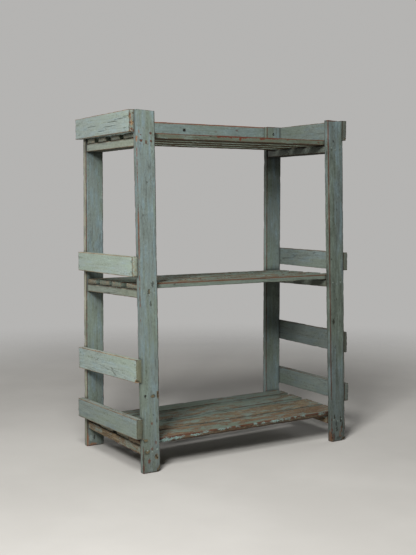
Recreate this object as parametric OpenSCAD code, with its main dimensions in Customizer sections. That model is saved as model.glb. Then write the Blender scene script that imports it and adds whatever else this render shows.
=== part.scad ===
// A painted wooden rack: four flat posts, three slatted shelves on flat bearers, four rails nailed
// across each side and one rail across the back at the top. The front is towards -Y, up is +Z, and
// the origin is the middle of the bounding box at floor level. Lengths are in millimetres.

/* [Frame] */
// Height of the posts, from the floor to the top of the rack
post_height = 848; // [800:1:900]
// Distance between the outer edges of the left and right posts, before they lean
frame_width = 616; // [500:1:800]
// Distance from the front faces of the front posts to the back faces of the back posts
frame_depth = 320; // [260:1:420]

/* [Posts] */
// Width of a post's broad face at the top
post_width = 49; // [44:1:60]
// How much narrower a front post is at the floor
front_post_taper = 3.5; // [0:0.5:5]
// Thickness of a post
post_thickness = 16; // [13:1:22]
// How far the top of each front post falls away to the right, out of square
post_top_fall = 2.5; // [0:0.5:5]
// Sideways place of the front left post at the floor
front_left_foot_shift = 4; // [-5:0.5:6]
// Sideways place of the front left post at the top, where it has racked to the left
front_left_top_shift = -11.5; // [-20:0.5:5]
// Sideways place of the front right post at the floor
front_right_foot_shift = 0; // [-5:0.5:5]
// Sideways place of the front right post at the top, where it has racked to the left
front_right_top_shift = -21; // [-24:0.5:5]
// Sideways place of the back right post at the floor
back_right_foot_shift = 5; // [-5:0.5:8]
// Sideways place of the top of both back posts
back_top_shift = 4.5; // [-5:0.5:8]
// How much higher the back right post, the back rail and the back of the right top rail reach
back_right_rise = 3; // [0:0.5:6]

/* [Side rails] */
// Thickness of a side rail
rail_thickness = 14; // [10:1:20]
// How much thicker the left middle and left bottom rails are
thick_rail_extra = 2.5; // [0:0.5:4]
// How much thinner the right lower rail is
thin_rail_cut = 3; // [0:0.5:4]
// Height of the middle and bottom rails
rail_height = 48; // [40:1:56]
// Height of the top rails, which are wider boards
top_rail_height = 52; // [40:1:58]
// Height of the lower rails, the widest boards
lower_rail_height = 55; // [44:1:60]
// Height of the middle rails' lower edge above the floor, at the back of the left one
middle_rail_level = 461; // [455:1:500]
// How much lower the right middle rail is nailed
right_middle_rail_drop = 5; // [0:1:8]
// How much the left middle rail rises towards the front
left_middle_rail_rise = 3; // [0:1:8]
// Height of the left lower rail's lower edge above the floor, at the back
left_lower_rail_level = 206; // [190:1:280]
// How much the left lower rail rises towards the front
left_lower_rail_rise = 11; // [0:1:15]
// Height of the right lower rail's lower edge above the floor
right_lower_rail_level = 237; // [190:1:280]
// Height of the left bottom rail's lower edge above the floor, at the back
left_bottom_rail_level = 79; // [78:1:110]
// How much the left bottom rail rises towards the front
left_bottom_rail_rise = 4; // [0:1:12]
// Height of the right bottom rail's lower edge above the floor
right_bottom_rail_level = 106; // [85:1:125]
// How far the left top rail's front end stays behind the front of the posts
left_top_rail_set_back = 10; // [0:0.5:11]
// How far its back end runs on past the back rail
left_top_rail_overhang = 10; // [0:0.5:20]
// How far the left middle rail's front end stays behind the front of the posts
left_middle_rail_set_back = 7; // [0:0.5:11]
// How far its back end runs on past the back posts
left_middle_rail_overhang = 1; // [0:0.5:20]
// How far the left lower rail's back end runs on past the back posts
left_lower_rail_overhang = 6; // [0:0.5:20]
// How far the left bottom rail's back end runs on past the back posts
left_bottom_rail_overhang = 5.5; // [0:0.5:20]

/* [Back rail] */
// Thickness of the back rail
back_rail_thickness = 12; // [9:1:18]
// Height of the back rail
back_rail_height = 50; // [40:1:56]

/* [Shelves] */
// Thickness of a slat
slat_thickness = 13; // [10:1:16]
// Width of the slat behind the front posts
front_slat_width = 60; // [50:1:68]
// Width of the second slat
second_slat_width = 52; // [44:1:62]
// Width of the third slat
third_slat_width = 52; // [44:1:62]
// Width of the slat before the back posts
back_slat_width = 51; // [44:1:60]
// Height of a bearer, which lies flat between a front and a back post
bearer_height = 20; // [14:1:24]
// Width of a bearer
bearer_width = 44; // [36:1:46]
// How far the slat ends and the bearers stay in from the posts' outer edges
shelf_inset = 2.5; // [2:0.5:5]
// How much further in the shortest slat end stays, where the slats were cut unevenly
slat_shortfall = 2.5; // [0:0.5:4]
// Gap between the first slat and the front posts, and between the last slat and the back posts
slat_clearance = 1; // [0.5:0.5:3]
// Distance from the top of the posts down to the underside of the top slats
top_shelf_drop = 64; // [56:1:90]
// Height of the middle slats' underside above the floor, at the front
middle_shelf_level = 434; // [410:1:436]
// How much the middle shelf falls towards the back
middle_shelf_fall = 7; // [0:1:10]
// Height of the bottom slats' underside above the floor, at the front right
bottom_shelf_level = 67.5; // [50:0.5:68]
// How much the bottom shelf rises towards the back
bottom_shelf_rise = 6; // [0:1:10]
// How much lower the bottom shelf lies at its left end
bottom_shelf_tilt = 5; // [0:0.5:8]

/* [Nails] */
// Diameter of a nail's shank
nail_shank = 2.4; // [1.8:0.2:3]
// Diameter of a nail's head
nail_head = 5; // [4:0.5:6]
// Length of the nails in the posts and the side rails
nail_length = 38; // [28:1:42]
// Length of the nails in the slats and the back rail, which stay inside the wood
short_nail_length = 25; // [20:1:26]
// Distance between neighbouring nails in the end of a bearer
bearer_nail_spacing = 13; // [10:0.5:14]
// How far these nails stand above and below the middle of the bearer
bearer_nail_stagger = 2.2; // [0:0.1:3]
// Distance of a rail's nails from its upper and lower edges
rail_nail_margin = 12; // [8:1:16]
// Distance of a slat's nails from its front and back edges
slat_nail_margin = 15; // [8:1:18]
// Distance of the back rail's nails from its upper and lower edges
back_rail_nail_margin = 15; // [8:1:18]
// Distance of the back rail's nails from the outer edge of a back post
back_rail_nail_inset = 32; // [30:1:40]

/* [Hidden] */
$fn = 24;
// How far a nail's head stands above the board, and the head's thickness
nail_proud = 0.4;
nail_head_thickness = 1.4;
// How deep a side rail beds on the posts' edges, where it is cut to fit their lean
seat_bite = 1;
// A little extra length for shapes that cut others
cut_margin = 2;
// Half the frame's width, and the Y planes that the shelves lie between
half_width = frame_width / 2;
clear_front = post_thickness;
clear_back = frame_depth - post_thickness;
clear_depth = clear_back - clear_front;
// Distance from a post's outer edge to the middle of the bearers
bearer_middle = shelf_inset + bearer_width / 2;

// The sides and rows of posts
LEFT = -1;
RIGHT = 1;
FRONT = 0;
BACK = 1;
// The three shelves, from the floor up
BOTTOM = 0;
MIDDLE = 1;
TOP = 2;
// The four rails of a side, from the floor up
BOTTOM_RAIL = 0;
LOWER_RAIL = 1;
MIDDLE_RAIL = 2;
TOP_RAIL = 3;

// Sideways shift of a post's outer edge at the floor and at the top
function foot_shift(side, row) =
    row == BACK
    ? (side == LEFT ? 0 : back_right_foot_shift)
    : (side == LEFT ? front_left_foot_shift : front_right_foot_shift);
function top_shift(side, row) =
    row == BACK ? back_top_shift : side == LEFT ? front_left_top_shift : front_right_top_shift;
// X of a post's outer edge at height z
function post_edge(side, row, z) =
    side * half_width
    + foot_shift(side, row) * (1 - z / post_height)
    + top_shift(side, row) * z / post_height;
// X of a side's outer edge at depth y and height z, on the straight line between its two posts
function side_edge(side, y, z) =
    post_edge(side, FRONT, z)
    + (post_edge(side, BACK, z) - post_edge(side, FRONT, z)) * y / frame_depth;
function post_foot_width(row) = post_width - (row == FRONT ? front_post_taper : 0);
// Height of a post's top, and of the back rail's upper edge
function post_top(side, row) = post_height + (side == RIGHT && row == BACK ? back_right_rise : 0);
back_rail_top = post_height + back_right_rise;

// Height of a shelf's underside at the front and at the back, on the right
function shelf_front(shelf) =
    shelf == TOP ? post_height - top_shelf_drop : shelf == MIDDLE ? middle_shelf_level : bottom_shelf_level;
function shelf_back(shelf) =
    shelf_front(shelf)
    + (shelf == BOTTOM ? bottom_shelf_rise : shelf == MIDDLE ? -middle_shelf_fall : 0);
function shelf_mid(shelf) = (shelf_front(shelf) + shelf_back(shelf)) / 2;
function shelf_pitch(shelf) = atan2(shelf_back(shelf) - shelf_front(shelf), clear_depth);
// How much lower a shelf lies at its left end, and the angle
function shelf_tilt(shelf) = shelf == BOTTOM ? bottom_shelf_tilt : 0;
function shelf_roll(shelf) = atan2(shelf_tilt(shelf), frame_width);
// Height of a shelf's underside over the middle of a bearer's front or back end
function bearer_level(side, row, shelf) =
    (row == FRONT ? shelf_front(shelf) : shelf_back(shelf))
    - shelf_tilt(shelf) * (half_width - side * (half_width - bearer_middle)) / frame_width;

// The slats of a shelf, front to back, with equal gaps between them
SLAT_WIDTHS = [front_slat_width, second_slat_width, third_slat_width, back_slat_width];
LAST_SLAT = 3;
slat_run = clear_depth - 2 * slat_clearance;
function slats_before(slat) = slat == 0 ? 0 : SLAT_WIDTHS[slat - 1] + slats_before(slat - 1);
slat_gap = (slat_run - slats_before(LAST_SLAT + 1)) / LAST_SLAT;
// The boards are uneven and lie askew. Each row is one slat, and gives how far its edges lie off
// their even places, as parts of the gap: front and back edge at the left end, then at the right.
SLAT_SKEWS = [
    [[0.00, 0.13, 0.00, 0.38], [-0.76, -0.42, -0.40, 0.55], [-0.57, 0.14, 0.40, 0.38], [-0.14, 0.00, 0.10, 0.00]],
    [[0.00, 0.00, 0.00, -0.12], [0.20, 0.19, -0.04, 0.07], [-0.08, 0.14, 0.16, 0.25], [-0.02, 0.00, -0.02, 0.00]],
    [[0.00, 0.00, 0.00, -0.12], [-0.03, -0.05, 0.09, 0.07], [0.16, 0.02, 0.03, 0.02], [0.10, 0.00, -0.02, 0.00]],
];
// How short each slat is at its left and right end, as parts of the shortfall
SLAT_TRIMS = [
    [[0.0, 0.4], [0.6, 0.2], [0.2, 1.0], [0.4, 0.8]],
    [[0.2, 0.4], [0.0, 0.0], [0.8, 0.4], [0.4, 0.2]],
    [[0.0, 0.2], [0.4, 0.6], [0.2, 0.0], [0.6, 0.4]],
];
// Y of an edge of a slat: 0 and 1 are its front and back edge at the left end, 2 and 3 at the right
function slat_y(shelf, slat, edge) =
    clear_front + slat_clearance
    + slats_before(slat) + slat * slat_gap
    + (edge % 2) * SLAT_WIDTHS[slat]
    + SLAT_SKEWS[shelf][slat][edge] * slat_gap;
// X of a slat's end at depth y
function slat_end(shelf, slat, side, y) =
    side_edge(side, y, shelf_mid(shelf))
    - side * (shelf_inset + slat_shortfall * SLAT_TRIMS[shelf][slat][side == LEFT ? 0 : 1]);

// The four rails of each side, from the floor up: lower edge at the back, at the front, and height
function rail_row(side, rail) =
    side == LEFT
    ? [[left_bottom_rail_level, left_bottom_rail_level + left_bottom_rail_rise, rail_height],
       [left_lower_rail_level, left_lower_rail_level + left_lower_rail_rise, lower_rail_height],
       [middle_rail_level, middle_rail_level + left_middle_rail_rise, rail_height],
       [post_height - top_rail_height, post_height - top_rail_height, top_rail_height]][rail]
    : [[right_bottom_rail_level, right_bottom_rail_level, rail_height],
       [right_lower_rail_level, right_lower_rail_level, lower_rail_height],
       [middle_rail_level - right_middle_rail_drop, middle_rail_level - right_middle_rail_drop, rail_height],
       [back_rail_top - top_rail_height, post_height - top_rail_height, top_rail_height]][rail];
// Y of a rail's front end, which is flush with the front posts or stays behind their faces
function rail_front_end(side, rail) =
    side == RIGHT ? 0 : [0, 0, left_middle_rail_set_back, left_top_rail_set_back][rail];
// Y of a rail's back end. The top rails run on past the posts and cover the back rail's ends.
function rail_back_end(side, rail) =
    frame_depth
    + (rail == TOP_RAIL ? back_rail_thickness : 0)
    + (side == RIGHT ? 0
       : [left_bottom_rail_overhang, left_lower_rail_overhang,
          left_middle_rail_overhang, left_top_rail_overhang][rail]);
// Height of a rail's middle
function rail_mid(side, rail) =
    (rail_row(side, rail)[0] + rail_row(side, rail)[1] + rail_row(side, rail)[2]) / 2;
// Thickness of a rail
function rail_depth(side, rail) =
    rail_thickness
    + (side == LEFT && (rail == MIDDLE_RAIL || rail == BOTTOM_RAIL) ? thick_rail_extra : 0)
    - (side == RIGHT && rail == LOWER_RAIL ? thin_rail_cut : 0);
// X of a rail's inner face at depth y, which beds on the posts' edges, and of its outer face
function rail_seat(side, rail, y) = side_edge(side, y, rail_mid(side, rail)) - side * seat_bite;
function rail_face(side, rail, y) = rail_seat(side, rail, y) + side * rail_depth(side, rail);
// Height of a rail's lower edge at depth y
function rail_lower_edge(side, rail, y) =
    rail_row(side, rail)[1]
    + (rail_row(side, rail)[0] - rail_row(side, rail)[1]) * y / frame_depth;

// The bounding box, which puts the origin in its middle
function rail_ends(side, rail) = [rail_front_end(side, rail), rail_back_end(side, rail)];
RAILS = [BOTTOM_RAIL : TOP_RAIL];
box_left = min([for (rail = RAILS, y = rail_ends(LEFT, rail)) rail_face(LEFT, rail, y)]);
box_right = max([for (rail = RAILS, y = rail_ends(RIGHT, rail)) rail_face(RIGHT, rail, y)]);
box_back = max([for (side = [LEFT, RIGHT], rail = RAILS) rail_back_end(side, rail)]);
back_rail_back = frame_depth + back_rail_thickness;

// Puts a shape drawn from the left front corner's planes into the rack's own frame
module in_frame() {
    translate([-(box_left + box_right) / 2, -box_back / 2, 0]) children();
}

// A prism along Z from an outline in X and Y
module plan_prism(points, low, high) {
    translate([0, 0, low]) linear_extrude(high - low) polygon(points);
}

// A prism along Y from an outline in X and Z
module front_prism(points, near, far) {
    translate([0, far, 0]) rotate([90, 0, 0]) linear_extrude(far - near) polygon(points);
}

// A prism along X from an outline in Y and Z, which reaches well past both sides
module side_prism(points) {
    reach = 2 * frame_width;
    translate([-reach / 2, 0, 0]) rotate([90, 0, 90]) linear_extrude(reach) polygon(points);
}

// One nail driven along -Z into a board whose face is at the origin
module nail(length) {
    translate([0, 0, nail_proud - nail_head_thickness]) cylinder(d = nail_head, h = nail_head_thickness);
    translate([0, 0, nail_proud - length]) cylinder(d = nail_shank, h = length - nail_head_thickness);
}

// Nails through a front or back post into the ends of the bearers
module bearer_nails(side, row, shelf) {
    z = bearer_level(side, row, shelf) - bearer_height / 2;
    y = row == FRONT ? 0 : frame_depth;
    for (i = [-1 : 1]) {
        x = post_edge(side, row, z) - side * (bearer_middle + i * bearer_nail_spacing);
        stagger = i == 0 ? -bearer_nail_stagger : bearer_nail_stagger;
        translate([x, y, z + stagger]) rotate([row == FRONT ? 90 : -90, 0, 0]) nail(nail_length);
    }
}

// Two nails through one end of a side rail into a post's edge, in the middle of what it covers
module rail_end_nails(side, rail, row) {
    y = row == FRONT
        ? (rail_front_end(side, rail) + post_thickness) / 2
        : frame_depth - post_thickness / 2;
    for (rise = [rail_nail_margin, rail_row(side, rail)[2] - rail_nail_margin]) {
        z = rail_lower_edge(side, rail, y) + rise;
        translate([rail_face(side, rail, y), y, z]) rotate([0, side * 90, 0]) nail(nail_length);
    }
}

// Moves from the frame to the plane of a shelf's underside, which may rise or fall towards the back
// and to the left
module on_shelf(shelf) {
    translate([half_width, clear_front, shelf_front(shelf)])
        rotate([shelf_pitch(shelf), -shelf_roll(shelf), 0])
            translate([-half_width, -clear_front, 0]) children();
}

// Two nails through one end of a slat into its bearer, between the nails in the bearer's ends
module slat_end_nails(shelf, slat, side) {
    front = slat_y(shelf, slat, side == LEFT ? 0 : 2);
    back = slat_y(shelf, slat, side == LEFT ? 1 : 3);
    for (y = [front + slat_nail_margin, back - slat_nail_margin]) {
        x = side_edge(side, y, shelf_mid(shelf)) - side * (bearer_middle - bearer_nail_spacing / 2);
        on_shelf(shelf) translate([x, y, slat_thickness]) nail(short_nail_length);
    }
}

// Two nails through the back rail into one back post
module back_rail_end_nails(side) {
    for (drop = [back_rail_nail_margin, back_rail_height - back_rail_nail_margin]) {
        z = back_rail_top - drop;
        x = post_edge(side, BACK, z) - side * back_rail_nail_inset;
        translate([x, back_rail_back, z]) rotate([-90, 0, 0]) nail(short_nail_length);
    }
}

// A post without its nail holes: a flat board that leans a little and tapers in front
module post_blank(side, row) {
    near = row == FRONT ? 0 : clear_back;
    top = post_top(side, row);
    foot = post_edge(side, row, 0);
    head = post_edge(side, row, top);
    fall = row == FRONT ? post_top_fall : 0;
    inner_fall = side == LEFT ? fall : 0;
    outer_fall = side == RIGHT ? fall : 0;
    front_prism([
        [foot, 0],
        [foot - side * post_foot_width(row), 0],
        [head - side * post_width, top - inner_fall],
        [head, top - outer_fall],
    ], near, near + post_thickness);
}

module post(side, row) {
    color("#7f9a96") in_frame() difference() {
        post_blank(side, row);
        for (shelf = [BOTTOM : TOP]) bearer_nails(side, row, shelf);
        for (rail = [BOTTOM_RAIL : TOP_RAIL]) rail_end_nails(side, rail, row);
        if (row == BACK) back_rail_end_nails(side);
    }
}

// A side rail without its nail holes, cut to fit the two posts that it crosses
module rail_blank(side, rail) {
    row = rail_row(side, rail);
    front_end = rail_front_end(side, rail);
    back_end = rail_back_end(side, rail);
    low_front = rail_lower_edge(side, rail, front_end);
    low_back = rail_lower_edge(side, rail, back_end);
    difference() {
        intersection() {
            plan_prism([
                [rail_seat(side, rail, front_end), front_end],
                [rail_seat(side, rail, back_end), back_end],
                [rail_face(side, rail, back_end), back_end],
                [rail_face(side, rail, front_end), front_end],
            ], min(low_front, low_back) - cut_margin, max(low_front, low_back) + row[2] + cut_margin);
            side_prism([
                [front_end, low_front],
                [back_end, low_back],
                [back_end, low_back + row[2]],
                [front_end, low_front + row[2]],
            ]);
        }
        post_blank(side, FRONT);
        post_blank(side, BACK);
    }
}

module side_rail(side, rail) {
    color("#8fa9a3") in_frame() difference() {
        rail_blank(side, rail);
        rail_end_nails(side, rail, FRONT);
        rail_end_nails(side, rail, BACK);
    }
}

// The back rail lies on the back posts' back faces, and its ends butt against the top side rails
module back_rail() {
    color("#7a9c9c") in_frame() difference() {
        plan_prism([
            [rail_seat(LEFT, TOP_RAIL, frame_depth), frame_depth],
            [rail_seat(RIGHT, TOP_RAIL, frame_depth), frame_depth],
            [rail_seat(RIGHT, TOP_RAIL, back_rail_back), back_rail_back],
            [rail_seat(LEFT, TOP_RAIL, back_rail_back), back_rail_back],
        ], back_rail_top - back_rail_height, back_rail_top);
        back_rail_end_nails(LEFT);
        back_rail_end_nails(RIGHT);
    }
}

// A bearer lies flat between a front and a back post, in line with the shelf on top of it
module bearer(side, shelf) {
    level = (bearer_level(side, FRONT, shelf) + bearer_level(side, BACK, shelf)) / 2;
    mid = shelf_mid(shelf);
    outer = side * shelf_inset;
    inner = side * (shelf_inset + bearer_width);
    color("#87998c") in_frame() difference() {
        intersection() {
            plan_prism([
                [side_edge(side, clear_front, mid) - outer, clear_front],
                [side_edge(side, clear_back, mid) - outer, clear_back],
                [side_edge(side, clear_back, mid) - inner, clear_back],
                [side_edge(side, clear_front, mid) - inner, clear_front],
            ], level - 2 * bearer_height, level + bearer_height);
            on_shelf(shelf) plan_prism([
                [-frame_width, 0],
                [frame_width, 0],
                [frame_width, frame_depth],
                [-frame_width, frame_depth],
            ], -bearer_height, 0);
        }
        bearer_nails(side, FRONT, shelf);
        bearer_nails(side, BACK, shelf);
        for (slat = [0 : LAST_SLAT]) slat_end_nails(shelf, slat, side);
    }
}

// A slat lies across both bearers
module slat(shelf, slat) {
    left_front = slat_y(shelf, slat, 0);
    left_back = slat_y(shelf, slat, 1);
    right_front = slat_y(shelf, slat, 2);
    right_back = slat_y(shelf, slat, 3);
    color("#8d9a8c") in_frame() difference() {
        on_shelf(shelf) plan_prism([
            [slat_end(shelf, slat, LEFT, left_front), left_front],
            [slat_end(shelf, slat, RIGHT, right_front), right_front],
            [slat_end(shelf, slat, RIGHT, right_back), right_back],
            [slat_end(shelf, slat, LEFT, left_back), left_back],
        ], 0, slat_thickness);
        slat_end_nails(shelf, slat, LEFT);
        slat_end_nails(shelf, slat, RIGHT);
    }
}

module post_nails() {
    color("#6b4a3a") in_frame()
        for (side = [LEFT, RIGHT], row = [FRONT, BACK], shelf = [BOTTOM : TOP])
            bearer_nails(side, row, shelf);
}

module rail_nails() {
    color("#6b4a3a") in_frame()
        for (side = [LEFT, RIGHT], row = [FRONT, BACK], rail = [BOTTOM_RAIL : TOP_RAIL])
            rail_end_nails(side, rail, row);
}

module slat_nails() {
    color("#6b4a3a") in_frame()
        for (side = [LEFT, RIGHT], shelf = [BOTTOM : TOP], slat = [0 : LAST_SLAT])
            slat_end_nails(shelf, slat, side);
}

module back_rail_nails() {
    color("#6b4a3a") in_frame()
        for (side = [LEFT, RIGHT]) back_rail_end_nails(side);
}

post(LEFT, FRONT);  // front_left_post
post(RIGHT, FRONT);  // front_right_post
post(LEFT, BACK);  // back_left_post
post(RIGHT, BACK);  // back_right_post
side_rail(LEFT, BOTTOM_RAIL);  // left_bottom_rail
side_rail(LEFT, LOWER_RAIL);  // left_lower_rail
side_rail(LEFT, MIDDLE_RAIL);  // left_middle_rail
side_rail(LEFT, TOP_RAIL);  // left_top_rail
side_rail(RIGHT, BOTTOM_RAIL);  // right_bottom_rail
side_rail(RIGHT, LOWER_RAIL);  // right_lower_rail
side_rail(RIGHT, MIDDLE_RAIL);  // right_middle_rail
side_rail(RIGHT, TOP_RAIL);  // right_top_rail
back_rail();
bearer(LEFT, BOTTOM);  // bottom_left_bearer
bearer(RIGHT, BOTTOM);  // bottom_right_bearer
bearer(LEFT, MIDDLE);  // middle_left_bearer
bearer(RIGHT, MIDDLE);  // middle_right_bearer
bearer(LEFT, TOP);  // top_left_bearer
bearer(RIGHT, TOP);  // top_right_bearer
slat(BOTTOM, 0);  // bottom_slat_1
slat(BOTTOM, 1);  // bottom_slat_2
slat(BOTTOM, 2);  // bottom_slat_3
slat(BOTTOM, 3);  // bottom_slat_4
slat(MIDDLE, 0);  // middle_slat_1
slat(MIDDLE, 1);  // middle_slat_2
slat(MIDDLE, 2);  // middle_slat_3
slat(MIDDLE, 3);  // middle_slat_4
slat(TOP, 0);  // top_slat_1
slat(TOP, 1);  // top_slat_2
slat(TOP, 2);  // top_slat_3
slat(TOP, 3);  // top_slat_4
post_nails();
rail_nails();
slat_nails();
back_rail_nails();
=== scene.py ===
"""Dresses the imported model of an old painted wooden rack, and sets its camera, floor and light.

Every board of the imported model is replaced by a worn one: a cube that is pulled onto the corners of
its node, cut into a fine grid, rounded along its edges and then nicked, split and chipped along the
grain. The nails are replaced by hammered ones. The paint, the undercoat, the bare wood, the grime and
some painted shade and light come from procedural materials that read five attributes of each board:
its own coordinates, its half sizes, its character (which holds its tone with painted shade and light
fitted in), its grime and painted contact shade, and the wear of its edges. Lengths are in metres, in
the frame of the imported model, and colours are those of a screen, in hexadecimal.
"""

from __future__ import annotations

import logging
import math
import random
from dataclasses import dataclass, replace
from enum import Enum
from itertools import product
from typing import Iterable, Union

import bmesh
import bpy
import numpy as np
from bpy.types import Material, NodeSocket, Object, World
from mathutils import Matrix, Vector, noise


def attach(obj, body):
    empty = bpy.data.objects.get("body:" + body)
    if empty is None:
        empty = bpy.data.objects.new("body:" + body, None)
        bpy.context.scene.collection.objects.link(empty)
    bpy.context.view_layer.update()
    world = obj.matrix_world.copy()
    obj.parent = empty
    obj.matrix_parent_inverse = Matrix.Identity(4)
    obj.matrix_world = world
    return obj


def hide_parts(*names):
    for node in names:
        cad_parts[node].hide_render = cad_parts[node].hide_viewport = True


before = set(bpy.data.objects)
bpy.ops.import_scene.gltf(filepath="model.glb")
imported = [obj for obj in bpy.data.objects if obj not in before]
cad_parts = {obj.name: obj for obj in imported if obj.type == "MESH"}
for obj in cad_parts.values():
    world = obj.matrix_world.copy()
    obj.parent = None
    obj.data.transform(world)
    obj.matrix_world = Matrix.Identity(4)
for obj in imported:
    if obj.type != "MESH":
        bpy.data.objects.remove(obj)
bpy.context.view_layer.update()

log = logging.getLogger("rack")

Triple = tuple[float, float, float]
Rows = tuple[tuple[float, ...], ...]
Number = Union[float, "Value"]
BODY = "root"


class Axis(Enum):
    """An axis of the rack's frame."""

    X = 0
    Y = 1
    Z = 2

    @property
    def vector(self) -> Vector:
        """The unit vector along the axis."""
        return Vector([1.0 if i == self.value else 0.0 for i in range(3)])


class Slot(Enum):
    """Names of the material slots that the boards are listed with."""

    POST = "painted_post"
    RAIL = "painted_rail"
    SLAT = "worn_slat"
    NAIL = "rusted_nail"


def srgb(code: str) -> tuple[float, ...]:
    """Turns a colour of a screen, such as #828f8a, into the linear values that a shader takes."""
    levels = [int(code[first : first + 2], 16) / 255 for first in (1, 3, 5)]
    return tuple(part / 12.92 if part <= 0.04045 else ((part + 0.055) / 1.055) ** 2.4 for part in levels)


class Tone(Enum):
    """What a mark on a board looks like, as a colour."""

    RUST = "#5e3e2f"
    RUSSET = "#5c3224"
    # the near-black inside of holes and gaps: grime with painted shade
    HOLE = "#1e1611"
    BARE = "#7c7054"
    OLIVE = "#626452"
    RED = "#744635"
    ORANGE = "#9a6c4c"
    DIRT = "#3a382b"
    PALE = "#9eaca8"
    BRIGHT = "#7e9893"


@dataclass(frozen=True)
class Mark:
    """A spot on a board that differs from the rest, as an ellipsoid in the rack's frame."""

    tone: Tone
    at: Triple
    size: Triple
    part: float = 1.0


@dataclass(frozen=True)
class Chip:
    """A place where wood has gone, as an ellipsoid with half sizes along, across and through the board.

    A clean one, such as a nail hole or a split, doesn't bare the wood around it.
    """

    at: Triple
    size: Triple
    rough: float = 0.35
    clean: bool = False


@dataclass(frozen=True)
class Arris:
    """How worn one of a board's long edges is.

    The signs tell across and through the board which edge it is. Each stop has a place along the board, how
    much of the edge's line shows there, how red it is and how dark.
    """

    across: float
    through: float
    stops: Rows


def face_marks(face: float, rows: dict[Tone, Rows]) -> tuple[Mark, ...]:
    """Makes marks on a face that looks to the front.

    Args:
        face: Y of the face.
        rows: For each tone its marks, each with its X and Z, its half width and half height, all four in
            millimetres, and its strength.

    Returns:
        The marks.
    """
    deep = 0.006
    return tuple(
        Mark(tone, (x / 1000, face, z / 1000), (wide / 1000, deep, high / 1000), part)
        for tone, marks in rows.items()
        for x, z, wide, high, part in marks
    )


class Value:
    """A socket's output in a material, with arithmetic that adds Math nodes."""

    def __init__(self, graph: Graph, socket: NodeSocket) -> None:
        """Wraps a socket of the given graph."""
        self.graph = graph
        self.socket = socket

    def _math(self, operation: str, first: Number, second: Number = 0.0) -> Value:
        """Adds one Math node."""
        inputs = {"Value": first, "Value_001": second}
        return self.graph.node("ShaderNodeMath", {"operation": operation}, inputs)

    def __add__(self, other: Number) -> Value:
        """self + other."""
        return self._math("ADD", self, other)

    __radd__ = __add__

    def __sub__(self, other: Number) -> Value:
        """self - other."""
        return self._math("SUBTRACT", self, other)

    def __rsub__(self, other: Number) -> Value:
        """other - self."""
        return self._math("SUBTRACT", other, self)

    def __mul__(self, other: Number) -> Value:
        """self * other."""
        return self._math("MULTIPLY", self, other)

    def least(self, other: Number) -> Value:
        """The smaller of the two values."""
        return self._math("MINIMUM", self, other)

    def most(self, other: Number) -> Value:
        """The larger of the two values."""
        return self._math("MAXIMUM", self, other)

    def magnitude(self) -> Value:
        """The value without its sign."""
        return self._math("ABSOLUTE", self)

    def step(self, low: float, high: float) -> Value:
        """A smooth step, 0 at low and 1 at high, which may be the smaller of the two."""
        inputs = {"Value": self, "From Min": low, "From Max": high}
        return self.graph.node("ShaderNodeMapRange", {"interpolation_type": "SMOOTHSTEP"}, inputs)


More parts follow.
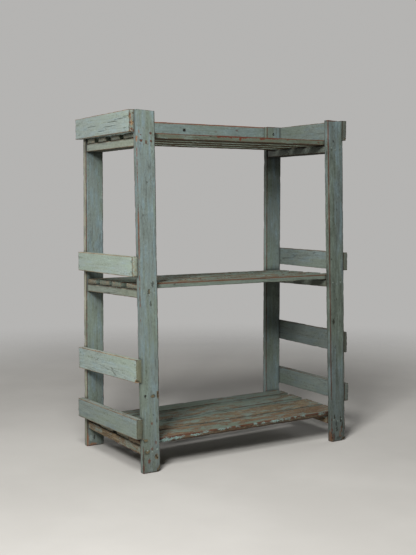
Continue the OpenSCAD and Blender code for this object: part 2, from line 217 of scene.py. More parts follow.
class Graph:
    """The node tree of one material."""

    def __init__(self, name: str) -> None:
        """Starts an empty material.

        Args:
            name: The material's name.
        """
        self.material = bpy.data.materials.new(name)
        self.material.use_nodes = True
        self.tree = self.material.node_tree
        self.tree.nodes.clear()

    def node(self, kind: str, settings: dict, inputs: dict, output: Union[int, str] = 0) -> Value:
        """Adds a node.

        Args:
            kind: The node's type.
            settings: The node's own settings, which are made first.
            inputs: Values, colours or links of its sockets, by the socket's identifier.
            output: The name or number of the output that is returned.

        Returns:
            The wrapped output.
        """
        made = self.tree.nodes.new(kind)
        for name, setting in settings.items():
            setattr(made, name, setting)
        sockets = {socket.identifier: socket for socket in made.inputs}
        for name, value in inputs.items():
            if isinstance(value, Value):
                self.tree.links.new(value.socket, sockets[name])
            else:
                sockets[name].default_value = (*srgb(value), 1.0) if isinstance(value, str) else value
        return Value(self, made.outputs[output])

    def attribute(self, name: str) -> Value:
        """Reads a vector attribute of the mesh."""
        return self.node("ShaderNodeAttribute", {"attribute_name": name}, {}, "Vector")

    def vector(self, operation: str, first: object, second: object = (0.0, 0.0, 0.0)) -> Value:
        """Adds a Vector Math node.

        Args:
            operation: Its operation.
            first: The first vector or value.
            second: The second vector or value.

        Returns:
            Its vector, or its number for a length or a dot product.
        """
        output = "Value" if operation in ("LENGTH", "DOT_PRODUCT") else "Vector"
        inputs = {"Vector": first, "Vector_001": second}
        return self.node("ShaderNodeVectorMath", {"operation": operation}, inputs, output)

    def scaled(self, vector: object, factor: Number) -> Value:
        """A vector times a number."""
        inputs = {"Vector": vector, "Scale": factor}
        return self.node("ShaderNodeVectorMath", {"operation": "SCALE"}, inputs)

    def parts(self, vector: Value) -> tuple[Value, ...]:
        """The three parts of a vector."""
        outputs = self.node("ShaderNodeSeparateXYZ", {}, {"Vector": vector}).socket.node.outputs
        return tuple(Value(self, output) for output in outputs)

    def noise(self, where: Value, scale: float, detail: float = 3.0, rough: float = 0.55) -> Value:
        """Noise about 0.5, with so many blotches to the metre and finer layers of some strength."""
        inputs = {"Vector": where, "Scale": scale, "Detail": detail, "Roughness": rough}
        return self.node("ShaderNodeTexNoise", {}, inputs)

    def cells(self, where: Value, scale: float, feature: str) -> Value:
        """The distance to a cell's middle (F1) or to its wall (DISTANCE_TO_EDGE)."""
        inputs = {"Vector": where, "Scale": scale}
        return self.node("ShaderNodeTexVoronoi", {"feature": feature}, inputs, "Distance")

    def mix(self, first: object, second: object, part: Number, blend: str = "MIX") -> Value:
        """A blend of two colours, all the second where part is 1."""
        inputs = {"Factor_Float": part, "A_Color": first, "B_Color": second}
        return self.node("ShaderNodeMix", {"data_type": "RGBA", "blend_type": blend}, inputs, 2)

    def dim(self, colour: Value, level: Value) -> Value:
        """A colour times a number."""
        grey = self.node("ShaderNodeCombineColor", {}, {"Red": level, "Green": level, "Blue": level})
        return self.mix(colour, grey, 1.0, "MULTIPLY")

    def surface(
        self, colour: Value, rough: Number, height: Value, depth: float, metal: Number = 0.0,
        alpha: Number = 1.0,
    ) -> None:
        """Joins colour, roughness and relief to the material's surface.

        Args:
            colour: The base colour.
            rough: The roughness.
            height: The relief, from 0 to about 1.
            depth: The depth in metres of a height of 1.
            metal: How metallic the surface is.
            alpha: How solid the surface is.
        """
        bump = self.node("ShaderNodeBump", {}, {"Height": height, "Distance": depth, "Strength": 1.0})
        inputs = {
            "Base Color": colour, "Roughness": rough, "Normal": bump, "Metallic": metal, "Alpha": alpha,
            "Specular IOR Level": 0.3,
        }
        shader = self.node("ShaderNodeBsdfPrincipled", {}, inputs)
        out = self.tree.nodes.new("ShaderNodeOutputMaterial")
        self.tree.links.new(shader.socket, out.inputs["Surface"])


@dataclass(frozen=True)
class PaintFinish:
    """Old blue-green paint over a red-brown undercoat, worn through to the wood."""

    name: str
    grain: Axis
    paint: str = "#828f8a"
    cool: str = "#7b8d8f"
    green: str = "#7e8b7c"
    pale: str = "#96a39d"
    grime: str = "#5c5c4c"
    narrow_tone: str = "#acae9a"
    under: str = "#965e3e"
    under_dark: str = "#5c3828"
    wood: str = "#84765c"
    wood_dark: str = "#544836"
    end_wood: str = "#7a6c52"
    end_dark: str = "#4e4432"
    crevice: str = "#2c2921"
    # the tone of faces that look down and how much of it they take: grime mixed with painted shade
    underside_dirt_and_shade: str = "#3c3626"
    lip: str = "#000000"
    lip_dark: str = "#000000"
    lip_bright: str = "#000000"
    lip_share: float = 0.0
    edge_width: float = 0.0016
    loss: float = -0.4
    top_loss: float = 0.0
    foot_loss: float = 0.0
    narrow_loss: float = 0.0
    end_bare: float = 0.45
    end_dirt: float = 0.45
    undercoat_band: float = 0.06
    drift: float = 0.01
    relief: float = 0.0006
    variation: float = 0.6
    underside_dirt_and_shade_part: float = 0.0
    streaks: float = 0.4
    cracks: float = 0.45
    floor_grime: float = 0.5
    # how dark the joints go: grime mixed with painted contact shade
    joint_dark: float = 0.85

    def material(self, name: str, marks: Iterable[Mark] = ()) -> Material:
        """Makes the material.

        Args:
            name: The material's name.
            marks: Spots to add, in the rack's frame.

        Returns:
            The material.
        """
        g = Graph(name)
        place, reach = g.attribute("place"), g.attribute("reach")
        seed, wear, tone_and_shade = g.parts(g.attribute("character"))
        close, torn, sides = g.parts(g.attribute("dirt_and_shade"))
        share, red, dark = g.parts(g.attribute("edge"))
        where = g.node("ShaderNodeTexCoord", {}, {}, "Object")
        shift_by_seed = (3.1, 1.7, 2.3)
        spot = g.vector("ADD", place, g.scaled(shift_by_seed, seed))

        # noise at the scales of the paint's patches, brush marks, grain and grit, most of it drawn out
        # along the grain
        broad, patches, streaks, fibres, mottle = (
            g.noise(g.vector("MULTIPLY", spot, (along, 1.0, 1.0)), scale, detail, rough)
            for along, scale, detail, rough in (
                (0.3, 14.0, 4.0, 0.6), (0.35, 62.0, 5.0, 0.62), (0.05, 150.0, 4.0, 0.62),
                (0.04, 520.0, 3.0, 0.6), (0.55, 250.0, 4.0, 0.65),
            )
        )
        flecks = g.noise(spot, 640.0, 2.0, 0.6)

        # the distance to the nearest edge of the board, and which face this is
        inside = g.vector("SUBTRACT", reach, g.vector("ABSOLUTE", place))
        from_ends, from_sides, from_faces = g.parts(inside)
        low = from_sides.least(from_faces)
        high = from_sides.most(from_faces)
        rim = low.most(high.least(from_ends))
        narrow = (from_faces - from_sides).step(0.0, 0.0012)
        normal = g.node("ShaderNodeNewGeometry", {}, {}, "Normal")
        end_face = g.vector("DOT_PRODUCT", normal, tuple(self.grain.vector)).magnitude().step(0.6, 0.85)
        up = g.vector("DOT_PRODUCT", normal, (0.0, 0.0, 1.0))
        _, _, above_floor = g.parts(where)

        # the paint
        paint = g.mix(self.paint, self.cool, (streaks * 0.3 + patches * 0.7).step(0.46, 0.6))
        paint = g.mix(paint, self.green, (broad * 0.7 + streaks * 0.3).step(0.52, 0.42) * 0.8)
        paint = g.mix(paint, self.pale, (mottle * 0.6 + patches * 0.4).step(0.55, 0.66) * 0.4)
        paint = g.mix(paint, self.grime, (streaks * 0.5 + mottle * 0.5).step(0.47, 0.36) * self.streaks)
        if self.lip_share:
            lip_face = g.vector("DOT_PRODUCT", normal, (0.0, -1.0, 0.0)).step(0.6, 0.85) * (1.0 - end_face)
            front = g.mix(self.lip_dark, self.lip, (mottle * 0.5 + streaks * 0.5).step(0.42, 0.58))
            front = g.mix(front, self.lip_bright, (mottle * 0.6 + patches * 0.4).step(0.56, 0.6))
            paint = g.mix(paint, front, lip_face * self.lip_share)
        paint = g.mix(paint, self.narrow_tone, narrow * (patches.step(0.34, 0.54) * 0.5 + 0.5) * sides)
        paint = g.mix(paint, self.grime, end_face * self.end_dirt)
        low_down = above_floor.step(0.17, 0.0)
        paint = g.mix(paint, self.grime, low_down * patches.step(0.36, 0.6) * self.floor_grime)

        # the bare places, inside them the wood and round them the undercoat
        value = (
            (patches - 0.5) * 1.2
            + (broad - 0.5) * 0.7
            + (mottle - 0.5) * 0.45
            + (streaks - 0.5) * 0.6
            + up.step(0.5, 0.9) * self.top_loss
            + narrow * self.narrow_loss
            + above_floor.step(0.13, 0.0) * self.foot_loss
            + torn * 1.6
            + wear
            + self.loss
        )
        undercoat = value.step(0.0, 0.05)
        bare = value.step(self.undercoat_band, self.undercoat_band + 0.08)
        under = g.mix(self.under, self.under_dark, (fibres * 0.6 + mottle * 0.4).step(0.44, 0.58))
        wood = g.mix(self.wood_dark, self.wood, (fibres * 0.7 + streaks * 0.3).step(0.4, 0.58))
        wood = g.mix(wood, self.paint, mottle.step(0.56, 0.64) * 0.5)
        colour = g.mix(paint, under, undercoat)
        colour = g.mix(colour, wood, bare)

        # the edges, worn to a thin broken line that is here red-brown and there olive
        presence = patches * 0.5 + mottle * 0.5 + (share - 0.5) * 0.34
        spread = rim + (flecks - 0.5) * 0.0014
        width = (share * 0.8 + 0.6) * self.edge_width
        edge = spread.step(width, width * 0.4) * presence.step(0.47, 0.53)
        worn = g.mix(self.wood_dark, self.wood, fibres.step(0.42, 0.58))
        redder = (mottle + (red - 0.5) * 0.6).step(0.46, 0.54)
        start = 0.62 - self.end_bare * 0.3
        ends = end_face * (mottle * 0.7 + broad * 0.3).step(start, start + 0.08)
        colour = g.mix(colour, g.mix(self.end_dark, self.end_wood, flecks.step(0.4, 0.56)), ends * 0.9)
        line = g.mix(worn, under, redder)
        line = g.mix(line, g.mix(self.crevice, self.under_dark, redder), dark)
        colour = g.mix(colour, line, edge * 0.95)

        # fine dark cracks that follow the grain in some places, and dark specks
        lines = g.cells(g.vector("MULTIPLY", spot, (8.0, 160.0, 160.0)), 1.0, "DISTANCE_TO_EDGE")
        crack = lines.step(0.04, 0.0) * broad.step(0.46, 0.6) * self.cracks
        colour = g.mix(colour, self.crevice, crack)
        dots = g.cells(spot, 95.0, "F1").step(0.14, 0.07) * mottle.step(0.52, 0.6)
        colour = g.mix(colour, self.under_dark, dots * 0.75)

        # grime mixed with painted contact shade where boards meet, grime mixed with painted shade on the
        # faces that look down under the shelves, and grime on the grain
        joint = close.step(0.08, 0.8) * (mottle * 0.6 + patches * 0.4).step(0.28, 0.52)
        joint = joint * (1.0 - end_face * 0.5)
        colour = g.mix(colour, self.underside_dirt_and_shade, up.step(-0.5, -0.9) * self.underside_dirt_and_shade_part)
        colour = g.mix(colour, self.crevice, joint * self.joint_dark)

        # spots at places of their own, with wavering outlines
        ragged = {"Vector": where, "Scale": 240.0, "Detail": 4.0, "Roughness": 0.65}
        drift = g.vector("SUBTRACT", g.node("ShaderNodeTexNoise", {}, ragged, 1), (0.5,) * 3)
        torn_up = (mottle * 0.5 + flecks * 0.5).step(0.4, 0.5)
        bent = g.vector("ADD", where, g.scaled(drift, self.drift))
        sunk: Number = 0.0
        for mark in marks:
            away = g.vector("DIVIDE", g.vector("SUBTRACT", bent, mark.at), mark.size)
            spread = g.vector("LENGTH", away).step(1.1, 0.75) * mark.part
            if mark.tone is Tone.BRIGHT:
                spread = spread * torn_up
            colour = g.mix(colour, mark.tone.value, spread)
            if mark.tone not in (Tone.PALE, Tone.BRIGHT):
                sunk = spread.most(sunk)
        # each board's tone, which holds painted shade and light, times fine variation
        uneven = ((streaks - 0.5) * 0.4 + (patches - 0.5) * 0.7) * self.variation
        shade = tone_and_shade * (1.0 + (fibres - 0.5) * 0.5 + (mottle - 0.5) * 0.55 + (flecks - 0.5) * 0.3 + uneven)
        colour = g.dim(colour, shade)

        rough = 0.64 + bare * 0.2 + undercoat * 0.08 + (flecks - 0.5) * 0.2 + joint * 0.1
        relief = (
            0.6
            - undercoat * 0.16
            - bare * 0.2
            + (fibres - 0.5) * (bare * 0.5 + 0.25)
            + (streaks - 0.5) * 0.2
            + (flecks - 0.5) * 0.15
            - crack * 0.4
            - dots * 0.25
            - edge * 0.1
            - sunk * 0.3
        )
        g.surface(colour, rough, relief, self.relief)
        return g.material


@dataclass(frozen=True)
class NailFinish:
    """Rusted iron, dull brown with orange bloom, more or less covered by the boards' paint."""

    name: str = "rusted_nail_heads"
    dark: str = "#482e24"
    bloom: str = "#7a4830"
    pit: str = "#261c18"
    paint: str = "#7e8a83"

    def material(self) -> Material:
        """Makes the material.

        Returns:
            The material.
        """
        g = Graph(self.name)
        where = g.node("ShaderNodeTexCoord", {}, {}, "Object")
        rust, tone_and_shade, _ = g.parts(g.attribute("character"))
        blotches = g.noise(where, 420.0, 4.0, 0.65)
        grit = g.noise(where, 1600.0, 3.0, 0.6)
        iron = g.mix(self.dark, self.bloom, blotches.step(0.42, 0.64))
        iron = g.mix(iron, self.pit, grit.step(0.5, 0.3) * 0.6)
        bare = (blotches * 0.5 + grit * 0.2 + rust).step(0.78, 0.9)
        # the nails' tone holds painted shade on the right side
        colour = g.dim(g.mix(self.paint, iron, bare), tone_and_shade)
        rough = 0.66 + bare * 0.1 + (grit - 0.5) * 0.3
        g.surface(colour, rough, blotches * 0.6 + grit * 0.4, 0.0004, bare * 0.35)
        return g.material


@dataclass(frozen=True)
class FloorFinish:
    """A plain pale floor that fades into the backdrop."""

    name: str = "pale_floor"
    light: str = "#cecbc5"
    dark: str = "#c7c4be"
    near: float = 0.9
    far: float = 2.6

    def material(self) -> Material:
        """Makes the material.

        Returns:
            The material.
        """
        g = Graph(self.name)
        where = g.node("ShaderNodeTexCoord", {}, {}, "Object")
        colour = g.mix(self.dark, self.light, g.noise(where, 2.2, 4.0, 0.55).step(0.35, 0.65))
        solid = g.vector("LENGTH", where).step(self.far, self.near)
        g.surface(colour, 0.75, g.noise(where, 160.0, 3.0), 0.0002, alpha=solid)
        return g.material


def only(obj: Object) -> None:
    """Selects one object alone and makes it active.

    Args:
        obj: The object.
    """
    bpy.ops.object.select_all(action="DESELECT")
    obj.select_set(True)
    bpy.context.view_layer.objects.active = obj


def modify(obj: Object, kind: str, **settings: object) -> None:
    """Adds a modifier with the given settings and applies it.

    Args:
        obj: The object.
        kind: The modifier's type.
        settings: Its settings by name.
    """
    only(obj)
    modifier = obj.modifiers.new(kind.title(), kind)
    for name, setting in settings.items():
        setattr(modifier, name, setting)
    bpy.ops.object.modifier_apply(modifier=modifier.name)


def points_of(obj: Object) -> np.ndarray:
    """Reads a mesh's points.

    Args:
        obj: The mesh's object.

    Returns:
        The points, as rows.
    """
    flat = np.empty(len(obj.data.vertices) * 3)
    obj.data.vertices.foreach_get("co", flat)
    return flat.reshape(-1, 3)


def rough_noise(rows: np.ndarray, scales: Triple, layers: int) -> np.ndarray:
    """Noise from about -1 to 1 at some points, with so many blotches to the metre on each axis."""
    falling, doubling = 1.0, 2.0
    return np.array([noise.fractal(row, falling, doubling, layers) for row in (rows * scales).tolist()])


def give(piece: Object, material: Material, node: str) -> None:
    """Gives a finished piece its material, hides the node that it replaces and attaches it to the body.

    Args:
        piece: The piece.
        material: Its only material.
        node: The node that it replaces.
    """
    piece.data.materials.clear()
    piece.data.materials.append(material)
    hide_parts(node)
    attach(piece, BODY)
    log.info("%s: %d faces", piece.name, len(piece.data.polygons))


@dataclass(frozen=True)
class Lie:
    """How a board lies: its middle, its own axes as rows, and its half sizes at both ends."""

    middle: np.ndarray
    axes: np.ndarray
    half_length: float
    first: np.ndarray
    last: np.ndarray

    def place(self, points: np.ndarray) -> tuple[np.ndarray, np.ndarray]:
        """Works out the board's own coordinates of some points.

        Args:
            points: The points, as rows.

        Returns:
            Rows of the distances along, across and through the board from its middle, and rows of the
            board's half sizes there.
        """
        place = (points - self.middle) @ self.axes.T
        share = np.clip(place[:, 0] / self.half_length / 2 + 0.5, 0.0, 1.0)[:, None]
        halves = self.first * (1 - share) + self.last * share
        length = np.full((len(points), 1), self.half_length)
        return place, np.concatenate([length, halves], axis=1)

    def gap(self, points: np.ndarray) -> np.ndarray:
        """The distance from some points to the board, 0 inside it."""
        place, reach = self.place(points)
        return np.linalg.norm(np.maximum(np.abs(place) - reach, 0.0), axis=1)


@dataclass
class Board:
    """One worn board that stands for a node, laid out along one axis and thin along another."""

    node: str
    along: Axis
    thin: Axis
    slot: Slot
    finish: PaintFinish
    seed: int
    wear: float = 0.0
    # the tone and its stops along the board are the board's own tone with painted shade and light fitted in
    tone_and_shade: float = 1.0
    cell: float = 0.005
    fine: float = 0.0028
    rounding: float = 0.0009
    nick_depth: float = 0.0012
    end_depth: float = 0.001
    grain_depth: float = 0.0003
    wave_depth: float = 0.0004
    dirt_and_shade_reach: float = 0.0065
    outer: float = 0.0
    thickness: float = 0.014
    # lifts the tone towards the outer face, so that a low tone stays as painted shade on the inner face
    outer_tint: float = 1.0
    sides: float = 0.3
    edge: Triple = (0.5, 0.4, 0.2)
    edges: tuple[Arris, ...] = ()
    tone_and_shade_stops: Rows = ()
    chips: tuple[Chip, ...] = ()
    marks: tuple[Mark, ...] = ()

    @property
    def across(self) -> Axis:
        """The axis of the board's width."""
        return next(axis for axis in Axis if axis not in (self.along, self.thin))

    def corners(self) -> dict[Triple, Vector]:
        """Finds the node's eight corners, by their signs along X, Y and Z.

        Returns:
            The corners. Where the posts' seats are cut into a rail's inner face, they are set off from the
            outer face.
        """
        points = points_of(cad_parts[self.node])
        low, high = points.min(axis=0), points.max(axis=0)
        spread = (points - (low + high) / 2) / (high - low)
        signs = list(product((-1.0, 1.0), repeat=3))
        corners = {sign: Vector(points[int(np.argmax(spread @ np.array(sign)))]) for sign in signs}
        for sign in signs:
            if self.outer and sign[self.thin.value] != self.outer:
                twin = list(sign)
                twin[self.thin.value] = self.outer
                corners[sign] = corners[tuple(twin)] - self.outer * self.thickness * self.thin.vector
        return corners

    def lie(self) -> Lie:
        """Works out how the board lies.

        Returns:
            Its axes and half sizes.
        """
        corners = self.corners()
        order = (self.along.value, self.across.value, self.thin.value)
        middles, sizes = [], []
        for sign in (-1.0, 1.0):
            mine = {key: np.array(value) for key, value in corners.items() if key[order[0]] == sign}
            halves = []
            for axis in order[1:]:
                upper = np.mean([v for k, v in mine.items() if k[axis] > 0], axis=0)
                lower = np.mean([v for k, v in mine.items() if k[axis] < 0], axis=0)
                halves.append(np.linalg.norm(upper - lower) / 2)
            middles.append(np.mean(list(mine.values()), axis=0))
            sizes.append(np.array(halves))
        first, last = middles
        length = np.linalg.norm(last - first)
        along = (last - first) / length
        through = np.array(self.thin.vector) - along * along[order[2]]
        through /= np.linalg.norm(through)
        across = np.cross(through, along)
        across *= math.copysign(1.0, across[order[1]])
        return Lie((first + last) / 2, np.stack([along, across, through]), length / 2, *sizes)

    def rough_out(self) -> Object:
        """Adds a cube at the node's place and pulls its corners onto the node's.

        Returns:
            The plain board.
        """
        corners = self.corners()
        low = Vector([min(column) for column in zip(*corners.values())])
        high = Vector([max(column) for column in zip(*corners.values())])
        middle = (low + high) / 2
        bpy.ops.object.select_all(action="DESELECT")
        bpy.ops.mesh.primitive_cube_add(size=1.0, location=middle)
        obj = bpy.context.active_object
        obj.name = obj.data.name = "worn_" + self.node
        obj.scale = high - low
        bpy.ops.object.transform_apply(location=True, rotation=True, scale=True)
        points = [vertex.co - middle for vertex in obj.data.vertices]
        signs = [tuple(math.copysign(1.0, part) for part in point) for point in points]
        bpy.ops.object.mode_set(mode="EDIT")
        bpy.ops.mesh.select_mode(type="VERT")
        for index, sign in enumerate(signs):
            bpy.ops.mesh.select_all(action="DESELECT")
            mesh = bmesh.from_edit_mesh(obj.data)
            mesh.verts.ensure_lookup_table()
            vertex = mesh.verts[index]
            vertex.select_set(True)
            bmesh.update_edit_mesh(obj.data)
            bpy.ops.transform.translate(value=corners[sign] - vertex.co)
        bpy.ops.object.mode_set(mode="OBJECT")
        return obj

    def cut(self, obj: Object, axis: Axis, cells: int) -> None:
        """Cuts all edges that run along an axis.

        Args:
            obj: The board.
            axis: The axis.
            cells: About how many cells each edge is cut into.
        """
        most_at_once = 60
        while cells > 1:
            parts = cells if cells <= most_at_once else math.ceil(math.sqrt(cells))
            bpy.ops.object.mode_set(mode="EDIT")
            bpy.ops.mesh.select_mode(type="EDGE")
            bpy.ops.mesh.select_all(action="DESELECT")
            mesh = bmesh.from_edit_mesh(obj.data)
            for edge in mesh.edges:
                run = edge.verts[1].co - edge.verts[0].co
                edge.select_set(abs(run.normalized().dot(axis.vector)) > 0.9)
            bmesh.update_edit_mesh(obj.data)
            bpy.ops.mesh.subdivide(number_cuts=parts - 1)
            bpy.ops.object.mode_set(mode="OBJECT")
            cells = round(cells / parts)

    def wear_down(self, obj: Object, lie: Lie) -> None:
        """Wears the surface, the edges and the ends with noise that is stretched along the grain.

        Args:
            obj: The board.
            lie: How it lies.
        """
        place, reach = lie.place(points_of(obj))
        inside = reach - np.abs(place)
        gaps = np.sort(inside, axis=1)
        rim_cells, end_cells, end_face = 1.5, 1.6, 0.0015
        rim = np.clip(1 - gaps[:, 1] / (rim_cells * self.fine), 0.0, 1.0)
        end = np.clip(1 - inside[:, 0] / (end_cells * self.cell), 0.0, 1.0)
        shifted = place + self.seed
        wave = 0.5 + 0.6 * rough_noise(shifted, (4.0, 9.0, 9.0), 2)
        grain = 0.5 + 0.7 * rough_noise(shifted, (11.0, 230.0, 230.0), 3)
        nick = 1.7 * rough_noise(shifted, (38.0, 120.0, 120.0), 3)
        splinter = 0.3 + 1.1 * rough_noise(shifted, (60.0, 260.0, 260.0), 2)
        depths = (
            np.clip(wave, 0.0, 1.0) * self.wave_depth
            + np.clip(grain, 0.0, 1.0) * self.grain_depth
            + np.clip(nick, 0.0, 1.0) * rim * self.nick_depth
            + np.clip(splinter, 0.0, 1.0) * end * self.end_depth
        )
        depths[(inside[:, 0] < end_face) & (gaps[:, 1] > self.fine)] = 0.0
        deepest = float(depths.max())
        group = obj.vertex_groups.new(name="worn")
        for index in np.nonzero(depths > 0)[0]:
            group.add([int(index)], float(depths[index]) / deepest, "REPLACE")
        modify(obj, "DISPLACE", strength=-deepest, mid_level=0.0, vertex_group=group.name)
        obj.vertex_groups.clear()

    def chip(self, obj: Object, lie: Lie, chip: Chip) -> None:
        """Takes a rough lump out of the board.

        Args:
            obj: The board.
            lie: How it lies.
            chip: The lump.
        """
        bpy.ops.object.select_all(action="DESELECT")
        fineness = 2 if chip.clean else 4
        bpy.ops.mesh.primitive_ico_sphere_add(subdivisions=fineness, radius=1.0, location=chip.at)
        lump = bpy.context.active_object
        lump.scale = chip.size
        turn = Matrix(lie.axes.T.tolist())
        turn.col[2] *= math.copysign(1.0, turn.determinant())
        lump.rotation_euler = turn.to_euler()
        bpy.ops.object.transform_apply(location=True, rotation=True, scale=True)
        if not chip.clean:
            smallest = min(chip.size)
            cloud = bpy.data.textures.new("relief", "CLOUDS")
            cloud.noise_scale = smallest * 0.9
            cloud.noise_depth = 3
            cloud.contrast = 1.6
            cloud.use_clamp = True
            modify(lump, "DISPLACE", texture=cloud, strength=-smallest * chip.rough * 1.6, mid_level=0.0)
        modify(obj, "BOOLEAN", object=lump, operation="DIFFERENCE", solver="MANIFOLD")
        bpy.data.objects.remove(lump)

    def build(self, lies: dict[str, Lie]) -> Object:
        """Builds the board.

        Args:
            lies: How all boards lie, by node.

        Returns:
            The board's object.
        """
        lie = lies[self.node]
        obj = self.rough_out()
        widths = 2 * np.maximum(lie.first, lie.last)
        self.cut(obj, self.along, round(2 * lie.half_length / self.cell))
        self.cut(obj, self.across, round(widths[0] / self.fine))
        self.cut(obj, self.thin, round(widths[1] / self.fine))
        corner, crease = math.radians(50), math.radians(38)
        modify(obj, "BEVEL", width=self.rounding, segments=2, limit_method="ANGLE", angle_limit=corner)
        self.wear_down(obj, lie)
        for chip in self.chips:
            self.chip(obj, lie, chip)
        self.note(obj, lies)
        only(obj)
        bpy.ops.object.shade_smooth_by_angle(angle=crease)
        return obj

    def note(self, obj: Object, lies: dict[str, Lie]) -> None:
        """Writes the attributes that the finish reads.

        Args:
            obj: The board.
            lies: How all boards lie, by node.
        """
        points = points_of(obj)
        place, reach = lies[self.node].place(points)
        # the tone holds painted shade and light: it is scaled towards the outer face and along the board by
        # its stops
        nature = np.tile([self.seed, self.wear, self.tone_and_shade], (len(points), 1))
        near_outer_face = (0.25, 0.45)
        outward = place[:, 2] * self.outer / self.thickness
        nature[:, 2] *= np.interp(outward, near_outer_face, (1.0, self.outer_tint))
        if self.tone_and_shade_stops:
            stops, tone_and_shade_stops = zip(*self.tone_and_shade_stops)
            nature[:, 2] *= np.interp(points[:, self.along.value], stops, tone_and_shade_stops)
        edge = np.tile(self.edge, (len(points), 1))
        for arris in self.edges:
            here = (place[:, 1] * arris.across > 0) & (place[:, 2] * arris.through > 0)
            stops, *levels = zip(*arris.stops)
            for channel, level in enumerate(levels):
                edge[here, channel] = np.interp(points[here, self.along.value], stops, level)
        # nearness to other boards: grime in the joints mixed with painted contact shade; then the bared
        # wood round chips and the share of the narrow tone
        dirt_and_shade = np.tile([0.0, 0.0, self.sides], (len(points), 1))
        for name, other in lies.items():
            if name != self.node:
                dirt_and_shade[:, 0] = np.maximum(dirt_and_shade[:, 0], 1 - other.gap(points) / self.dirt_and_shade_reach)
        for chip in self.chips:
            if not chip.clean:
                bare_to, fading = 1.12, 0.1
                offset = (points - np.array(chip.at)) @ lies[self.node].axes.T
                away = np.linalg.norm(offset / np.array(chip.size), axis=1)
                dirt_and_shade[:, 1] = np.maximum(dirt_and_shade[:, 1], np.clip((bare_to - away) / fading, 0.0, 1.0))
        layers = {"place": place, "reach": reach, "character": nature, "dirt_and_shade": dirt_and_shade, "edge": edge}
        for name, rows in layers.items():
            layer = obj.data.attributes.new(name, "FLOAT_VECTOR", "POINT")
            layer.data.foreach_set("vector", rows.astype(np.float32).ravel())

    def dress(self, obj: Object) -> None:
        """Gives the board its material and its place in the model.

        Args:
            obj: The board.
        """
        name = self.finish.name + ("_" + self.node if self.marks else "")
        material = bpy.data.materials.get(name) or self.finish.material(name, self.marks)
        give(obj, material, self.node)


POST_PAINT = PaintFinish(
    "post_paint", Axis.Z, edge_width=0.0026, foot_loss=0.14, variation=1.2, joint_dark=0.45,
)
RAIL_PAINT = PaintFinish(
    "rail_paint", Axis.Y, paint="#929e97", cool="#8d9d9c", green="#8e9b8d", pale="#a0aba5", under="#8c6c50",
    wood="#9c8466", wood_dark="#6c563e", variation=0.3, edge_width=0.0021, joint_dark=0.45, top_loss=0.26,
    loss=-0.42, cracks=0.6,
)
SHADED_RAIL_PAINT = replace(RAIL_PAINT, name="shaded_rail_paint", end_bare=0.15)
BACK_PAINT = PaintFinish(
    "back_rail_paint", Axis.X, paint="#7e8d89", cool="#7c8c8a", green="#7c8a80", edge_width=0.0036,
    cracks=0.3, joint_dark=0.2,
)
SLAT_PAINT = PaintFinish(
    "slat_paint", Axis.X, paint="#78857c", cool="#728380", green="#707c6e", pale="#8a948a",
    narrow_tone="#585e50", under="#76543a", under_dark="#502e20", wood="#80735a", wood_dark="#524634",
    end_wood="#9a8e76", end_dark="#68604c", loss=-0.24, top_loss=0.22, narrow_loss=-0.1,
    undercoat_band=0.03, underside_dirt_and_shade_part=0.88, edge_width=0.0026, end_bare=0.6, end_dirt=0.0, cracks=0.8,
    joint_dark=0.7,
)
# the top shelf's slats have lighter ends, painted light on ends that lie in the shade of the top rails, and
# take more of a darker underside tone, grime mixed with painted shade
TOP_PAINT = replace(
    SLAT_PAINT, name="top_slat_paint", end_wood="#9e9680", end_dark="#706a58", underside_dirt_and_shade="#483721",
    underside_dirt_and_shade_part=0.97, joint_dark=0.6,
)
LIP_PAINT = PaintFinish(
    "lip_paint", Axis.X, paint="#78847a", cool="#72817c", green="#707b6a", pale="#8a9284", under="#7a4a32",
    under_dark="#4a2a1e", wood="#806e54", wood_dark="#524030", end_wood="#967e60", end_dark="#644e38",
    lip="#604a36", lip_dark="#36261d", lip_bright="#70867e", lip_share=1.0, loss=-0.15, top_loss=0.08,
    narrow_loss=-0.4, undercoat_band=0.03, drift=0.017, underside_dirt_and_shade_part=0.88, edge_width=0.0036, end_bare=0.8,
    end_dirt=0.0, cracks=0.8, joint_dark=0.6,
)
BEARER_PAINT = PaintFinish(
    "bearer_paint", Axis.Y, paint="#7c877e", cool="#76847f", green="#727d6e", pale="#8a948a",
    under="#7e6448", wood="#8e7c60", wood_dark="#60503a", edge_width=0.0024, loss=-0.3,
    undercoat_band=0.02, underside_dirt_and_shade_part=0.8, cracks=0.6, joint_dark=0.6,
)


